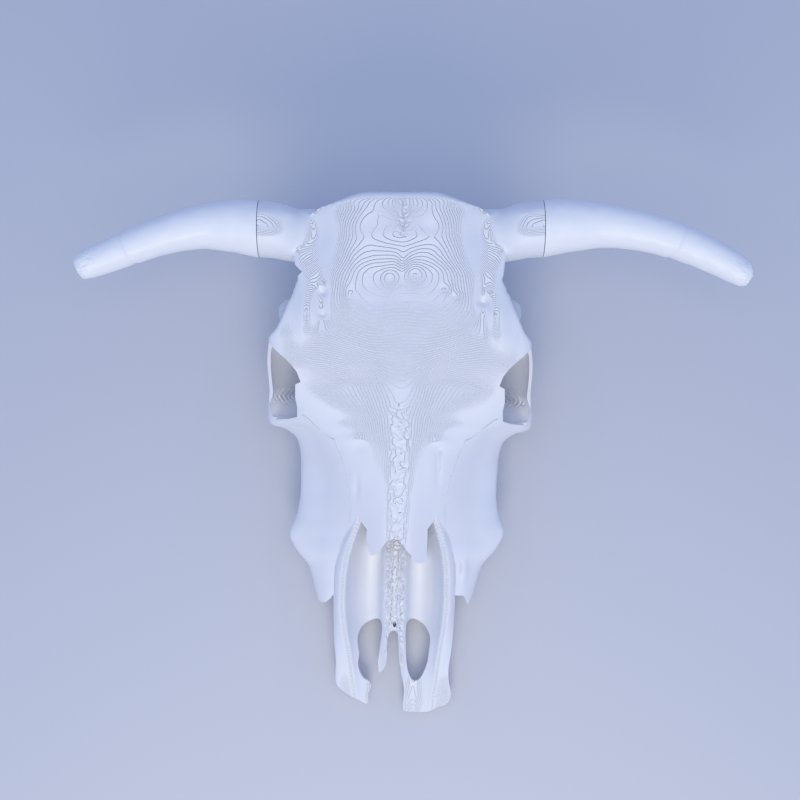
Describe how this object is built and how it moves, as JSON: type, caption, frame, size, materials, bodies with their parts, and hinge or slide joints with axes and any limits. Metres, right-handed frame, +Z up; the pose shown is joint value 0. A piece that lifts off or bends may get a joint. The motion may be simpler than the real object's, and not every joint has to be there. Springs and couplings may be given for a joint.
{
  "type": "3d printed bull skull model",
  "caption": "Small white printed plastic model of a bull skull, lying face up on its cheek teeth and the spikes behind the ears, with blunt horn cores glued to stubs.",
  "frame": {"origin": "middle of the object's box, on the plane it rests on", "axes": "+Z up out of the forehead, +Y towards the poll, +X to the right with the nose pointing to -Y"},
  "size_m": [0.2748, 0.2171, 0.0848],
  "materials": {
    "skull_plastic": "satin white printed plastic with fine layer lines",
    "horn_plastic": "satin white printed plastic, smoother than the skull"
  },
  "bodies": {
    "root": {"skull": "skull_plastic", "horn_left": "horn_plastic", "horn_right": "horn_plastic"}
  },
  "joints": []
}
